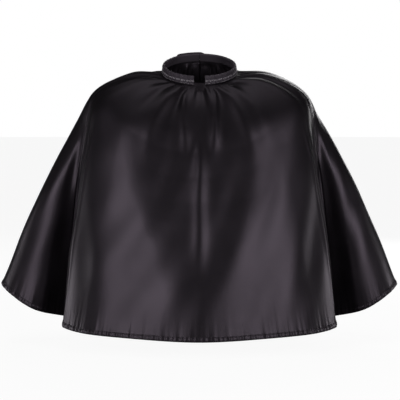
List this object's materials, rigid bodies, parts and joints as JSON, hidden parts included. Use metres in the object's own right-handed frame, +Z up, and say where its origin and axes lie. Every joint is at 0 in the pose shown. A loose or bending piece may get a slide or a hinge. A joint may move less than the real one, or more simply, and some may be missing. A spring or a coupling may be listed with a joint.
{
  "type": "barber cape",
  "caption": "Short black satin salon cape with a notched elastic neckband, deep side folds, turned hems and a hook-and-loop opening at the back.",
  "frame": {"origin": "centre of the neckline, where the wearer's neck holds the cape up", "axes": "+Z up, +X to the wearer's left, the front faces -Y"},
  "size_m": [0.7986, 0.4278, 0.5541],
  "materials": {
    "satin": "black polyester satin, soft sheen",
    "turned_satin": "the same satin turned twice and topstitched",
    "band_satin": "the same satin, ruched by the elastic inside",
    "elastic": "black woven elastic tape",
    "hook_tape": "black nylon hook tape",
    "loop_tape": "black brushed loop tape"
  },
  "bodies": {
    "cape_body": {"front_panel": "satin", "front_hem": "turned_satin", "left_back_panel": "satin", "right_back_panel": "satin", "left_back_hem": "turned_satin", "right_back_hem": "turned_satin", "left_neckband": "band_satin", "right_neckband": "band_satin", "left_neck_elastic": "elastic", "right_neck_elastic": "elastic"},
    "left_half": {"left_back_flap": "satin", "left_flap_hem": "turned_satin", "left_opening_facing": "turned_satin", "left_neckband_end": "band_satin"},
    "right_half": {"right_back_flap": "satin", "right_flap_hem": "turned_satin", "right_opening_facing": "turned_satin", "right_neckband_end": "band_satin", "loop_pad": "loop_tape"},
    "tab": {"closure_tab": "band_satin", "hook_pad": "hook_tape"}
  },
  "joints": [
    {"name": "left_flap_open", "type": "hinge", "parent": "cape_body", "child": "left_half", "pos_m": [0.05118, 0.04835, 0.02043], "axis": [0.3194, 0.231, -0.9191], "range_deg": [0, 100]},
    {"name": "right_flap_open", "type": "hinge", "parent": "cape_body", "child": "right_half", "pos_m": [-0.05118, 0.04835, 0.02043], "axis": [0.3194, -0.231, 0.9191], "range_deg": [0, 100]},
    {"name": "tab_peel", "type": "hinge", "parent": "left_half", "child": "tab", "pos_m": [0.01444, 0.05833, 0.03513], "axis": [0.0329, 0.5157, -0.8562], "range_deg": [0, 100]}
  ],
  "couplings": [
    {"joint": "right_flap_open", "follows": "left_flap_open", "ratio": 1}
  ]
}
